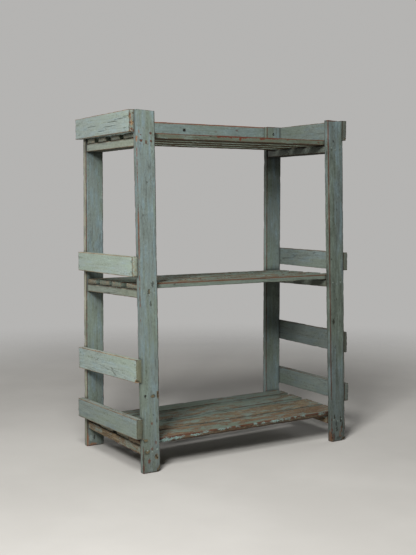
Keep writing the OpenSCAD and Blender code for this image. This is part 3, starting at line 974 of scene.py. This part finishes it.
@dataclass
class Posts:
    """The four posts, which lean a little and have worn feet."""

    face: float = -0.1708
    back_face: float = 0.1332

    def left_marks(self) -> tuple[Mark, ...]:
        """Lays out the front left post's rust spots by the top shelf and bare patches near the foot.

        Returns:
            The marks.
        """
        return face_marks(self.face, {
            Tone.ORANGE: ((-309, 796.7, 2, 4, 0.75), (-316.4, 781, 3.4, 9.5, 0.9)),
            Tone.RUST: (
                (-305.1, 790.6, 2.3, 2.1, 0.9), (-278.9, 794, 3.9, 3.1, 1.0),
                (-303.9, 777.4, 4.4, 2.6, 0.9), (-291, 775, 3.2, 2.6, 0.7), (-278.1, 777, 2.6, 2.4, 0.6),
                (-298.1, 805.5, 2.4, 2.2, 0.25), (-287.7, 804.8, 2.2, 2.2, 0.25),
                (-287.1, 769, 2.2, 1.9, 0.45), (-296.2, 768.5, 2, 1.8, 0.4), (-306, 768.4, 2, 1.8, 0.4),
                (-277.2, 768.8, 1.8, 1.8, 0.35), (-269.2, 72.7, 2.4, 5.2, 0.6), (-301.4, 12, 3, 12, 0.7),
            ),
            Tone.DIRT: (
                (-288.4, 682.6, 3.2, 2.4, 0.55), (-275, 446.5, 3.4, 8.5, 0.75),
                (-285.2, 427.3, 3.8, 9.5, 0.8), (-280.6, 400.5, 2.8, 7, 0.65), (-275, 182.6, 6.6, 5, 0.8),
                (-262, 184.2, 1.8, 8.5, 0.7), (-274.7, 138, 1.8, 2.8, 0.6), (-265.4, 124.9, 1.8, 6.5, 0.5),
                (-295.8, 78, 7.4, 5, 0.75), (-291.4, 51, 8, 7.2, 0.7), (-301, 36, 2.4, 14, 0.6),
            ),
            Tone.BARE: (
                (-284, 429, 2.2, 5, 0.6), (-276.6, 182.9, 4.2, 3.2, 1.0), (-294.6, 78.8, 5.2, 3.2, 1.0),
                (-302.5, 83.2, 3, 2.6, 0.6), (-290.4, 52.2, 5.8, 5, 1.0),
            ),
            Tone.HOLE: (
                (-296, 183.9, 2.4, 4.6, 0.85), (-268.2, 40.2, 3, 2.6, 0.75), (-264.2, 34.6, 2.8, 3.2, 0.75),
            ),
            Tone.RED: (
                (-278.9, 118.2, 2.9, 4, 0.75), (-278.1, 57.2, 3.6, 3.8, 0.65),
                (-285.8, 28.3, 3.8, 5.6, 0.9),
            ),
            Tone.PALE: ((-280.8, 7.2, 4.4, 3.9, 0.4),),
        })

    def right_marks(self) -> tuple[Mark, ...]:
        """Lays out the front right post's dark spots and the bare wood of its foot.

        Returns:
            The marks.
        """
        return face_marks(self.face, {
            Tone.RED: ((266.6, 32.6, 2.8, 3.8, 0.8),),
            Tone.ORANGE: ((258.3, 17, 5.2, 14.1, 0.9),),
            Tone.HOLE: (
                (259.9, 792.9, 2.9, 2.4, 0.7), (279.7, 48.2, 2.8, 9.2, 0.75), (265.8, 16.5, 1.7, 14.1, 0.7),
            ),
            Tone.DIRT: (
                (267.2, 322.4, 3.7, 8, 0.85), (273.5, 254.1, 2.4, 3.7, 0.6), (273.7, 65.2, 2.4, 9.2, 0.9),
                (282, 32.3, 3.1, 7.1, 0.85), (294.7, 58.9, 2.8, 8.7, 0.9), (300.8, 41.8, 2.4, 9.8, 0.7),
                (288.2, 9.2, 8.4, 4.4, 0.5), (257.9, 486.7, 2, 2.6, 0.7), (276.2, 381.4, 2.4, 3.2, 0.5),
            ),
            Tone.PALE: ((288.6, 55.3, 4.2, 5.2, 0.35),),
            Tone.RUST: ((272.3, 12.9, 3.8, 11.4, 0.75),),
        }) + (Mark(Tone.ORANGE, (0.265, -0.164, 0.014), (0.003, 0.007, 0.018), 0.7),)

    def boards(self) -> list[Board]:
        """Lays out the posts with their own damage.

        Returns:
            The four boards.
        """
        left_chips = (
            Chip((-0.2575, -0.1705, 0.0015), (0.008, 0.0062, 0.007)),
            Chip((-0.296, self.face, 0.1839), (0.0026, 0.0014, 0.007), clean=True),
            Chip((-0.2625, -0.171, 0.1842), (0.0085, 0.0018, 0.005), 0.2),
            Chip((-0.2665, self.face, 0.0375), (0.003, 0.0042, 0.0016), 0.2),
        )
        right_chips = (
            Chip((0.3125, -0.163, -0.0035), (0.012, 0.015, 0.02), 0.25),
            Chip((0.265, -0.171, 0.0), (0.012, 0.004, 0.005), 0.3),
        )
        back_left_marks = face_marks(self.back_face, {
            Tone.HOLE: ((-284.4, 22.5, 2.4, 6.4, 0.8),),
            Tone.PALE: ((-294.1, 20.9, 5.4, 9, 0.6),),
            Tone.ORANGE: ((-288.9, 5.5, 13, 3, 0.7), (-303.2, 16, 3, 20, 0.7)),
        })
        back_right_marks = (Mark(Tone.HOLE, (0.2886, self.back_face, 0.8303), (0.0034, 0.006, 0.004)),)
        hole = Chip((0.2886, self.back_face, 0.8303), (0.0026, 0.0022, 0.007), clean=True)
        front_left = (
            Arris(-1, -1, (
                (0.0, 0.75, 0.7, 0.9), (0.05, 0.7, 0.6, 0.9), (0.08, 0.3, 0.3, 0.3), (0.3, 0.3, 0.3, 0.3),
                (0.42, 0.55, 0.6, 0.2), (0.5, 0.45, 0.4, 0.2), (0.53, 1.0, 1.0, 0.1), (0.6, 1.0, 1.0, 0.0),
                (0.64, 0.45, 0.8, 0.3), (0.76, 0.55, 0.9, 0.3), (0.81, 0.2, 0.4, 0.3),
            )),
            Arris(1, -1, ((0.0, 0.7, 0.4, 0.8), (0.15, 0.7, 0.4, 0.9), (0.846, 0.75, 0.3, 0.7))),
            Arris(-1, 1, ((0.0, 0.6, 0.6, 0.4),)),
        )
        front_right = (
            Arris(-1, -1, (
                (0.0, 0.8, 0.9, 0.6), (0.08, 0.6, 0.6, 0.8), (0.2, 0.85, 0.8, 0.9), (0.35, 0.95, 0.9, 0.9),
                (0.42, 1.0, 1.0, 0.8), (0.8, 1.0, 1.0, 0.6), (0.846, 0.9, 0.9, 0.5),
            )),
            Arris(1, -1, (
                (0.0, 0.6, 0.5, 0.6), (0.13, 1.0, 0.4, 0.1), (0.28, 1.0, 0.4, 0.1), (0.32, 0.6, 0.3, 0.7),
            )),
            Arris(-1, 1, ((0.0, 0.6, 0.3, 0.5),)),
        )
        back = (
            Arris(-1, -1, ((0.0, 0.9, 0.9, 0.4), (0.05, 0.8, 0.5, 0.6), (0.846, 0.85, 0.5, 0.6))),
            Arris(1, -1, ((0.0, 0.6, 0.4, 0.8),)),
            Arris(-1, 1, ((0.0, 0.7, 0.6, 0.2),)),
        )
        posts = {
            "front_left_post": {
                "tone_and_shade": 0.82, "sides": 0.0,
                "edges": front_left, "chips": left_chips, "marks": self.left_marks(),
                "tone_and_shade_stops": ((0.0, 0.8), (0.06, 0.84), (0.25, 0.92), (0.5, 0.95), (0.7, 0.88), (0.846, 0.89)),
            },
            "front_right_post": {
                "finish": replace(POST_PAINT, variation=2.4, streaks=0.6), "tone_and_shade": 0.59, "wear": 0.03,
                "sides": 0.0, "edges": front_right, "chips": right_chips, "marks": self.right_marks(),
                "tone_and_shade_stops": ((0.0, 0.8), (0.05, 0.85), (0.2, 0.87), (0.5, 0.93), (0.846, 0.97)),
            },
            # the back left post is darker towards the top bearer: painted shadow of the top shelf
            "back_left_post": {
                "tone_and_shade": 0.75, "sides": 1.0, "edges": back, "marks": back_left_marks,
                "tone_and_shade_stops": (
                    (0.0, 0.95), (0.1, 1.05), (0.13, 1.1), (0.35, 1.1), (0.6, 1.0), (0.72, 0.95),
                    (0.76, 0.75),
                ),
            },
            # the back right post is darker just under the middle and top shelves, painted shadows of the
            # shelves, and lighter between them, painted light
            "back_right_post": {
                "tone_and_shade": 0.75, "sides": 0.0, "edges": back, "chips": (hole,), "marks": back_right_marks,
                "tone_and_shade_stops": (
                    (0.1, 1.08), (0.22, 1.08), (0.3, 0.74), (0.44, 0.66), (0.455, 1.18), (0.66, 1.18),
                    (0.7, 1.05), (0.76, 0.62), (0.79, 0.62), (0.8, 0.9),
                ),
            },
        }
        return [
            Board(node, Axis.Z, Axis.Y, Slot.POST, seed=seed, **{"finish": POST_PAINT, **own})
            for seed, (node, own) in enumerate(posts.items(), 1)
        ]


@dataclass
class SideRails:
    """The four rails across each side."""

    levels: tuple[str, ...] = ("bottom", "lower", "middle", "top")
    left_depths: tuple[float, ...] = (0.0165, 0.014, 0.0165, 0.014)
    right_depths: tuple[float, ...] = (0.014, 0.011, 0.014, 0.014)
    # the rails' tones are fitted brightness: the low tones of the right rails are painted shade on their
    # inner faces, and right_outer_tint lifts their outer faces back
    left_tones_and_shades: tuple[float, ...] = (0.79, 1.14, 1.22, 1.02)
    right_tones_and_shades: tuple[float, ...] = (0.55, 0.41, 0.64, 0.58)
    right_outer_tint: float = 1.45
    first_seed: int = 11

    def top_cracks(self) -> tuple[Chip, ...]:
        """Lays out the long splits along the left top rail's outer face.

        Returns:
            The splits.
        """
        rows = (
            (-0.112, 0.8296, 0.04), (-0.064, 0.8252, 0.034), (-0.048, 0.8159, 0.042),
            (0.002, 0.8076, 0.024), (-0.133, 0.8066, 0.011), (-0.14, 0.833, 0.017), (0.06, 0.822, 0.032),
        )
        front, back = Vector((-0.329, -0.161)), Vector((-0.313, 0.171))
        chips = []
        for y, z, half in rows:
            share = (y - front.y) / (back.y - front.y)
            x = front.x + (back.x - front.x) * share
            chips.append(Chip((x, y, z), (half, 0.0008, 0.002), clean=True))
        return tuple(chips)

    def edges(self, side: str, level: str) -> tuple[Arris, ...]:
        """How worn a rail's long edges are.

        Args:
            side: The rack's side.
            level: The rail's level.

        Returns:
            The edges that differ from the rest.
        """
        outer = -1 if side == "left" else 1
        red = {"bottom": 0.3, "lower": 0.4, "middle": 0.4, "top": 0.6}[level]
        end = {("left", "top"): -0.16, ("left", "middle"): -0.163}.get((side, level), -0.17)
        dark_end = (end + 0.003, 1.0, 0.3, 0.8)
        return tuple(
            Arris(across, through, (dark_end, (end + 0.009, share, redness, dark)))
            for across, through, share, redness, dark in (
                (1, outer, 0.9, red, 0.0), (-1, outer, 0.85, red * 0.7, 0.1),
                (1, -outer, 0.75, 0.5, 0.2), (-1, -outer, 0.5, 0.4, 0.2),
            )
        )

    def boards(self) -> list[Board]:
        """Lays out the rails.

        Returns:
            The eight boards.
        """
        chips = {
            "left_top_rail": self.top_cracks() + (
                Chip((-0.329, -0.1608, 0.7955), (0.0044, 0.0044, 0.007), 0.4),
                Chip((-0.3286, -0.1612, 0.833), (0.0028, 0.0055, 0.0034), 0.5),
                Chip((-0.323, -0.1612, 0.817), (0.0024, 0.0048, 0.003), 0.5),
            ),
            "left_lower_rail": (Chip((-0.3192, -0.1712, 0.2173), (0.007, 0.008, 0.0085), 0.3),),
            "right_top_rail": (Chip((0.3035, -0.1712, 0.7955), (0.005, 0.0065, 0.007), 0.3),),
        }
        marks = {
            "left_top_rail": face_marks(-0.161, {
                Tone.OLIVE: ((-324.3, 810.1, 2.8, 3.6, 0.7),),
                Tone.RUST: (
                    (-327.1, 835.6, 2, 2.5, 0.9), (-326, 817.7, 2.3, 2.7, 0.8),
                    (-323, 803.4, 3.1, 3.6, 0.9), (-315.2, 827.6, 1.3, 1.6, 0.6),
                ),
                Tone.RUSSET: ((-325.4, 825.8, 1.8, 2.9, 0.9), (-318.5, 799.9, 3.1, 2, 0.8)),
                Tone.HOLE: (
                    (-320.5, 831, 1.0, 1.4, 0.8), (-317.3, 821.2, 1.0, 1.4, 0.8),
                    (-319.9, 813.4, 1.3, 1.1, 0.8), (-316.3, 807.7, 1.3, 1.1, 0.8),
                ),
                Tone.DIRT: ((-318.7, 839.2, 1.5, 1.8, 0.7),),
            }),
            "left_bottom_rail": (Mark(Tone.OLIVE, (-0.31, -0.1712, 0.107), (0.0115, 0.005, 0.03), 0.8),),
            "left_middle_rail": (
                Mark(Tone.BARE, (-0.315, 0.03, 0.478), (0.006, 0.018, 0.016), 0.25),
                Mark(Tone.BARE, (-0.316, -0.115, 0.485), (0.006, 0.028, 0.015), 0.28),
            ),
            "left_lower_rail": (
                Mark(Tone.OLIVE, (-0.3111, -0.1712, 0.246), (0.0105, 0.005, 0.033), 1.0),
                Mark(Tone.DIRT, (-0.319, -0.171, 0.22), (0.009, 0.006, 0.006), 0.7),
            ),
            "right_top_rail": (Mark(Tone.OLIVE, (0.299, -0.171, 0.82), (0.012, 0.003, 0.03), 0.35),),
            "right_middle_rail": (Mark(Tone.OLIVE, (0.308, -0.171, 0.48), (0.012, 0.003, 0.03), 0.35),),
            "right_lower_rail": (Mark(Tone.OLIVE, (0.3095, -0.171, 0.265), (0.01, 0.003, 0.033), 0.3),),
        }
        boards = []
        for side, outer, paint, tones_and_shades, depths, outer_tint in (
            ("left", -1.0, RAIL_PAINT, self.left_tones_and_shades, self.left_depths, 1.0),
            ("right", 1.0, SHADED_RAIL_PAINT, self.right_tones_and_shades, self.right_depths, self.right_outer_tint),
        ):
            for level, tone_and_shade, depth in zip(self.levels, tones_and_shades, depths):
                node = f"{side}_{level}_rail"
                boards.append(Board(
                    node, Axis.Y, Axis.X, Slot.RAIL, paint, self.first_seed + len(boards), tone_and_shade=tone_and_shade,
                    outer=outer, thickness=depth, outer_tint=outer_tint, edges=self.edges(side, level),
                    chips=chips.get(node, ()), marks=marks.get(node, ()),
                ))
        return boards


@dataclass
class BackRail:
    """The rail across the back, behind the top shelf."""

    face: float = 0.1492

    def boards(self) -> list[Board]:
        """Lays out the back rail with its nail hole and stains.

        Returns:
            The board.
        """
        marks = face_marks(self.face, {
            Tone.HOLE: ((0.7, 832, 4.8, 4.8, 1.0),),
            Tone.RUST: ((173.2, 837.6, 3.6, 3, 0.7), (102.9, 830.8, 5, 2.8, 0.35)),
        })
        hole = Chip((0.0007, self.face, 0.832), (0.0024, 0.0024, 0.006), clean=True)
        top = Arris(1, -1, ((0.0, 1.0, 0.8, 0.0),))
        return [Board("back_rail", Axis.X, Axis.Y, Slot.RAIL, BACK_PAINT, 21, tone_and_shade=0.8, edges=(top,),
                      chips=(hole,), marks=marks)]


@dataclass
class Shelf:
    """One shelf: a bearer at each end and four slats across them."""

    level: str
    seed: int
    wear: tuple[float, ...]
    bearer_wear: float = 0.0
    # the right bearer's lower tone is painted shade under its shelf
    bearer_tones_and_shades: tuple[float, float] = (1.0, 0.6)
    tones_and_shades: tuple[float, ...] = (1.0, 1.0, 1.0, 1.0)
    sides: float = 0.4
    lip: PaintFinish = SLAT_PAINT
    paint: PaintFinish = SLAT_PAINT
    edge: Triple = (0.5, 0.4, 0.6)
    front: tuple[Arris, ...] = ()
    marks: tuple[Mark, ...] = ()
    nick_depth: float = 0.0014

    def boards(self) -> list[Board]:
        """Lays out the bearers and the slats.

        Returns:
            The six boards.
        """
        boards = [
            Board(
                f"{self.level}_{side}_bearer", Axis.Y, Axis.Z, Slot.SLAT, BEARER_PAINT, self.seed + number,
                wear=self.bearer_wear, tone_and_shade=tone_and_shade, edge=(0.75, 0.45, 0.2),
            )
            for number, (side, tone_and_shade) in enumerate(zip(("left", "right"), self.bearer_tones_and_shades))
        ]
        under = tuple(Arris(across, -1, ((0.0, 0.3, 0.2, 0.9),)) for across in (1, -1))
        for number, (wear, tone_and_shade) in enumerate(zip(self.wear, self.tones_and_shades), 1):
            paint, front, marks = self.paint, (), ()
            if number == 1:
                paint, front, marks = self.lip, self.front, self.marks
            boards.append(Board(
                f"{self.level}_slat_{number}", Axis.X, Axis.Z, Slot.SLAT, paint, self.seed + 2 + number,
                wear=wear, tone_and_shade=tone_and_shade, nick_depth=self.nick_depth, sides=self.sides, edge=self.edge,
                edges=under + front, marks=marks,
            ))
        return boards


def shelves() -> list[Shelf]:
    """Lays out the three shelves, with the marks along their front edges.

    Returns:
        The shelves, from the bottom up.
    """
    edge = -0.1542
    bright = face_marks(edge, {
        Tone.BRIGHT: (
            (-231.7, 69.7, 20, 4.8, 1.0), (-202.6, 70.6, 18, 3.4, 1.0), (-184.4, 73.3, 8, 1.6, 0.8),
            (-146.2, 71.3, 19, 3, 1.0), (-118.8, 74.4, 10.5, 2.4, 0.9), (-72.1, 76.2, 13.4, 2.3, 1.0),
            (-51.3, 77.9, 9.6, 3, 1.0), (-24.3, 76.2, 7.9, 2.5, 0.8), (20.2, 85, 2.2, 4.1, 0.9),
            (29.5, 76.1, 6.2, 3.6, 1.0), (54.3, 74.6, 7.6, 2.1, 0.9), (90.2, 75.9, 16, 3.1, 1.0),
            (110.9, 76.5, 7.7, 2.4, 0.9), (131.8, 77.1, 11.7, 2.4, 0.9), (156.4, 78.8, 4.6, 3.7, 0.8),
            (180, 78.7, 11.3, 2.9, 1.0), (244.2, 76.6, 13.7, 3.2, 0.6),
        ),
    })
    red = face_marks(edge, {
        Tone.RUSSET: (
            (-19.6, 791.4, 3, 5.8, 1.0), (-73.1, 796.2, 23.1, 3.1, 1.0), (-81.7, 794, 5.7, 3.3, 0.9),
            (-48.4, 794.2, 7.6, 3.3, 0.95), (-33.8, 796.2, 11.7, 3.6, 1.0), (-8.7, 795.1, 14.8, 3.6, 1.0),
            (-23.5, 796.6, 26.5, 3.1, 1.0), (46.9, 793.7, 9.1, 3.4, 0.95), (76, 795.2, 24.7, 2.4, 0.9),
            (125.9, 793, 6.3, 2, 0.6), (-121.5, 795.8, 25.4, 1.4, 0.8), (224.1, 789.7, 2.6, 2.1, 0.7),
            (15.2, 796, 18, 2.6, 0.9), (-46, 796.8, 44, 2.8, 1.0),
        ),
    })
    line = (Arris(-1, 1, ((0.0, 1.0, 1.0, 0.4),)), Arris(-1, -1, ((0.0, 0.6, 0.4, 0.5),)))
    lip = (Arris(-1, 1, ((0.0, 1.0, 0.9, 0.45),)), Arris(-1, -1, ((0.0, 0.8, 0.4, 0.9),)))
    # the right bearers' low tones are painted shade under the shelves; the top shelf's slats grow lighter
    # towards the back and its left bearer is lighter, painted light
    return [
        Shelf(
            "bottom", 31, (0.11, 0.06, 0.0, -0.06), 0.3, (0.92, 0.75), (0.94, 0.97, 1.0, 0.95), sides=0.0,
            lip=LIP_PAINT, edge=(0.7, 0.4, 0.8), front=lip, marks=bright,
        ),
        Shelf("middle", 41, (0.02, 0.03, 0.0, 0.0), 0.06, (0.97, 0.5), sides=0.5, front=line),
        Shelf(
            "top", 51, (-0.06, 0.0, 0.0, 0.0), 0.0, (1.2, 0.5), (1.0, 1.3, 1.5, 1.7), sides=1.0,
            lip=TOP_PAINT, paint=TOP_PAINT, front=line, marks=red,
        ),
    ]


@dataclass
class Nails:
    """The nails, each a hammered head on a pointed shank, mostly painted over."""

    groups: tuple[str, ...] = ("post_nails", "rail_nails", "slat_nails", "back_rail_nails")
    rust: tuple[float, ...] = (0.22, 0.12, 0.45, 0.4)
    rust_range: tuple[float, float] = (0.4, 1.4)
    rusted_corner: Triple = (-0.25, -0.15, 0.76)
    corner_rust: float = 0.55
    head: float = 0.0025
    head_thickness: float = 0.0014
    shank: float = 0.0012
    shank_length: float = 0.02
    tip_length: float = 0.003
    sizes: tuple[float, float] = (0.82, 0.98)
    roundness: tuple[float, float] = (0.88, 1.0)
    # nails on the right side are darker, following the painted shade of the right-hand boards
    tones_and_shades: tuple[float, float] = (0.98, 0.78)

    def places(self, node: str) -> list[tuple[Vector, Vector]]:
        """Finds the nails of a node.

        Args:
            node: The name of the node, which holds one solid for each nail.

        Returns:
            For each nail the middle of its head's face and its direction into the wood.
        """
        weld, flat = 1e-6, 1e-4
        mesh = bmesh.new()
        mesh.from_mesh(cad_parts[node].data)
        bmesh.ops.remove_doubles(mesh, verts=mesh.verts, dist=weld)
        left = set(mesh.verts)
        found = []
        while left:
            group, edge = [], [left.pop()]
            while edge:
                vertex = edge.pop()
                group.append(vertex.co.copy())
                near = {link.other_vert(vertex) for link in vertex.link_edges} & left
                left -= near
                edge.extend(near)
            points = np.array(group)
            middle = points.mean(axis=0)
            axis = np.linalg.svd(points - middle)[2][0]
            run = (points - middle) @ axis
            tips = [points[np.abs(run - end) < flat] for end in (run.min(), run.max())]
            spans = [np.ptp(tip, axis=0).max() for tip in tips]
            head = int(spans[1] > spans[0])
            found.append((Vector(tips[head].mean(axis=0)), Vector(axis * (-1 if head else 1))))
        mesh.free()
        return sorted(found, key=lambda item: tuple(round(part, 5) for part in item[0]))

    def model(self) -> Object:
        """Models one nail with the middle of its head's face at the origin, pointing along -Z.

        Returns:
            The nail.
        """
        bpy.ops.object.select_all(action="DESELECT")
        middle = (0, 0, -self.head_thickness / 2)
        bpy.ops.mesh.primitive_cylinder_add(
            vertices=16, radius=self.head, depth=self.head_thickness, location=middle
        )
        rim, dome, dent, point = 0.22, 0.35, 0.0001, 0.1
        nail = bpy.context.active_object
        bpy.ops.object.transform_apply(location=True, rotation=True, scale=True)
        bpy.ops.object.mode_set(mode="EDIT")
        self.pick(nail, 1.0)
        bpy.ops.mesh.inset(thickness=self.head * rim, depth=0.0)
        bpy.ops.mesh.inset(thickness=self.head * dome, depth=-dent)
        self.pick(nail, -1.0)
        bpy.ops.mesh.inset(thickness=self.head - self.shank)
        for length in (self.shank_length, self.tip_length):
            bpy.ops.mesh.extrude_region_move(TRANSFORM_OT_translate={"value": (0, 0, -length)})
        bpy.ops.transform.resize(value=(point, point, 1.0))
        bpy.ops.object.mode_set(mode="OBJECT")
        return nail

    def pick(self, nail: Object, sign: float) -> None:
        """Selects the nail's outermost face on one side.

        Args:
            nail: The nail.
            sign: 1 for the top and -1 for the bottom.
        """
        bpy.ops.mesh.select_mode(type="FACE")
        bpy.ops.mesh.select_all(action="DESELECT")
        mesh = bmesh.from_edit_mesh(nail.data)
        faces = [face for face in mesh.faces if face.normal.z * sign > 0.9]
        best = max(faces, key=lambda face: face.calc_center_median().z * sign)
        best.select_set(True)
        bmesh.update_edit_mesh(nail.data)

    def copy(
        self, pattern: Object, at: Vector, axis: Vector, rust: float, draw: random.Random
    ) -> Object:
        """Copies the nail to one place.

        Args:
            pattern: The nail.
            at: The middle of its head's face.
            axis: Its direction into the wood.
            rust: How much of its rust shows through the paint.
            draw: The source of random numbers.

        Returns:
            The copy.
        """
        copy = bpy.data.objects.new("nail", pattern.data.copy())
        bpy.context.scene.collection.objects.link(copy)
        turn = (-axis).to_track_quat("Z", "Y").to_matrix().to_4x4()
        spin = Matrix.Rotation(draw.uniform(0.0, math.tau), 4, "Z")
        size = draw.uniform(*self.sizes)
        scale = Matrix.Diagonal((size, size * draw.uniform(*self.roundness), 1.0, 1.0))
        copy.data.transform(Matrix.Translation(at) @ turn @ spin @ scale)
        tone_and_shade = self.tones_and_shades[at.x >= 0]
        layer = copy.data.attributes.new("character", "FLOAT_VECTOR", "POINT")
        layer.data.foreach_set("vector", [rust, tone_and_shade, 0.0] * len(copy.data.vertices))
        return copy

    def build(self) -> None:
        """Copies the nail to every place and joins each group into a piece."""
        x, y, z = self.rusted_corner
        draw = random.Random(5)
        pattern = self.model()
        material = NailFinish().material()
        for node, rust in zip(self.groups, self.rust):
            copies = []
            for at, axis in self.places(node):
                rusted = node == "post_nails" and at.x < x and at.y < y and at.z > z
                level = self.corner_rust if rusted else rust * draw.uniform(*self.rust_range)
                copies.append(self.copy(pattern, at, axis, level, draw))
            bpy.ops.object.select_all(action="DESELECT")
            for copy in copies:
                copy.select_set(True)
            piece = copies[0]
            bpy.context.view_layer.objects.active = piece
            bpy.ops.object.join()
            piece.name = piece.data.name = "worn_" + node
            give(piece, material, node)
        bpy.data.objects.remove(pattern)


@dataclass
class Studio:
    """The camera at the photograph's angle, a plain pale floor and soft light."""

    eye: Triple = (-1.3418, -2.1168, 0.6379)
    pitch: float = -4.54
    yaw: float = 32.05
    lens: float = 62.07
    target: Triple = (0.0, 0.0, 0.42)
    floor_size: float = 40.0
    floor_gap: float = 0.0002
    backdrop: Triple = (0.46, 0.455, 0.445)
    glow: Triple = (0.018, 0.018, 0.018)

    def build(self) -> None:
        """Sets up the camera, the floor and the lights."""
        scene = bpy.context.scene
        data = bpy.data.cameras.new("camera")
        data.lens = self.lens
        camera = bpy.data.objects.new("camera", data)
        camera.location = self.eye
        camera.rotation_euler = (math.radians(90 + self.pitch), 0.0, -math.radians(self.yaw))
        scene.collection.objects.link(camera)
        scene.camera = camera
        self.lay_floor()
        self.light("key_light", (-1.69, -1.61, 1.57), 0.6, 55.0)
        self.light("top_light", (-1.02, -1.23, 2.47), 0.8, 32.0)
        self.light("right_light", (2.7, 0.3, 1.1), 1.4, 14.0)
        self.light("back_light", (-0.9, 2.9, 1.1), 1.4, 16.0)
        scene.world = self.surround()
        scene.view_settings.view_transform = "Standard"

    def surround(self) -> World:
        """Makes the world: a plain pale backdrop for the camera and a faint glow for everything else.

        Returns:
            The world.
        """
        world = bpy.data.worlds.new("studio")
        world.use_nodes = True
        tree = world.node_tree
        tree.nodes.clear()
        mix = tree.nodes.new("ShaderNodeMixShader")
        rays = tree.nodes.new("ShaderNodeLightPath")
        tree.links.new(rays.outputs["Is Camera Ray"], mix.inputs[0])
        for number, colour in enumerate((self.glow, self.backdrop), 1):
            shade = tree.nodes.new("ShaderNodeBackground")
            shade.inputs["Color"].default_value = (*colour, 1.0)
            tree.links.new(shade.outputs[0], mix.inputs[number])
        out = tree.nodes.new("ShaderNodeOutputWorld")
        tree.links.new(mix.outputs[0], out.inputs["Surface"])
        return world

    def lay_floor(self) -> None:
        """Lays the floor under the feet."""
        bpy.ops.object.select_all(action="DESELECT")
        bpy.ops.mesh.primitive_plane_add(size=self.floor_size, location=(0, 0, -self.floor_gap))
        floor = bpy.context.active_object
        floor.name = "floor"
        floor.data.materials.append(FloorFinish().material())

    def light(self, name: str, at: Triple, size: float, power: float) -> None:
        """Adds a square soft light that faces the rack.

        Args:
            name: The light's name.
            at: Where it hangs.
            size: The length of its side.
            power: Its power in watts.
        """
        data = bpy.data.lights.new(name, "AREA")
        data.size = size
        data.energy = power
        lamp = bpy.data.objects.new(name, data)
        lamp.location = at
        lamp.rotation_euler = (Vector(self.target) - Vector(at)).to_track_quat("-Z", "Y").to_euler()
        bpy.context.scene.collection.objects.link(lamp)


def main() -> None:
    """Builds the boards, the nails and the studio in order."""
    logging.basicConfig(level=logging.INFO, format="%(message)s")
    boards: list[Board] = []
    for part in (Posts(), SideRails(), BackRail(), *shelves()):
        boards.extend(part.boards())
    lies = {board.node: board.lie() for board in boards}
    for board in boards:
        board.dress(board.build(lies))
    Nails().build()
    Studio().build()


if __name__ == "__main__":
    main()
